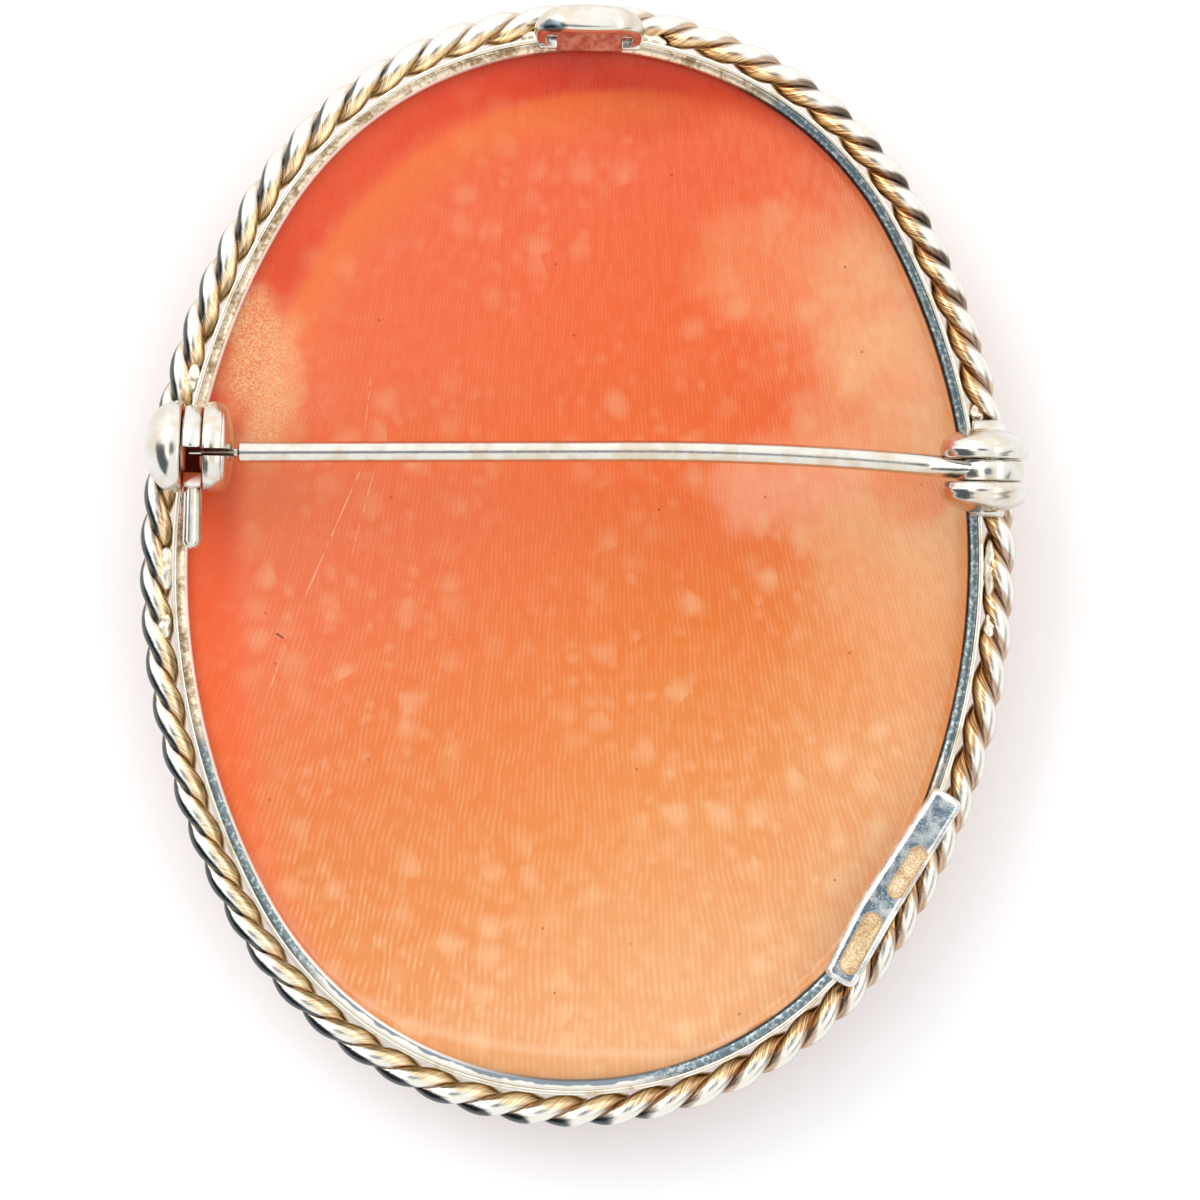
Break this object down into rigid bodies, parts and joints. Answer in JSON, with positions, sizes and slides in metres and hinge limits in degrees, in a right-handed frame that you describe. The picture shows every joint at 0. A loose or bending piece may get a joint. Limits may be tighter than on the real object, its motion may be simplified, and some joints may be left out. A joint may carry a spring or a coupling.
{
  "type": "cameo brooch",
  "caption": "Oval shell cameo with a concave polished back in a silver bezel, twisted wire border, hinged pin, turning safety catch and fixed bail.",
  "frame": {"origin": "under the middle of the oval, on the surface that the carved front lies on", "axes": "+Z out of the back, towards the pin; +Y towards the bail at the top; +X towards the hinge"},
  "size_m": [0.0391, 0.0498, 0.0112],
  "materials": {
    "shell": "polished coral-orange shell with fine growth lines on the hollow back, cream carving on the front",
    "silver": "polished silver, softly worn",
    "rope_silver": "polished silver with warm tarnish in the hollows"
  },
  "bodies": {
    "brooch": {"cameo": "shell", "setting": "silver", "rope_wire_a": "rope_silver", "rope_wire_b": "rope_silver", "hinge_rivet": "silver"},
    "pin": {"pin_stem": "silver"},
    "lock": {"catch_lock": "silver"}
  },
  "joints": [
    {"name": "pin_swing", "type": "hinge", "parent": "brooch", "child": "pin", "pos_m": [0.01798, 0.00455, 0.00915], "axis": [0, 1, 0], "range_deg": [0, 115]},
    {"name": "lock_turn", "type": "hinge", "parent": "brooch", "child": "lock", "pos_m": [-0.01695, 0.0048, 0.00915], "axis": [1, 0, 0], "range_deg": [-90, 18]}
  ]
}
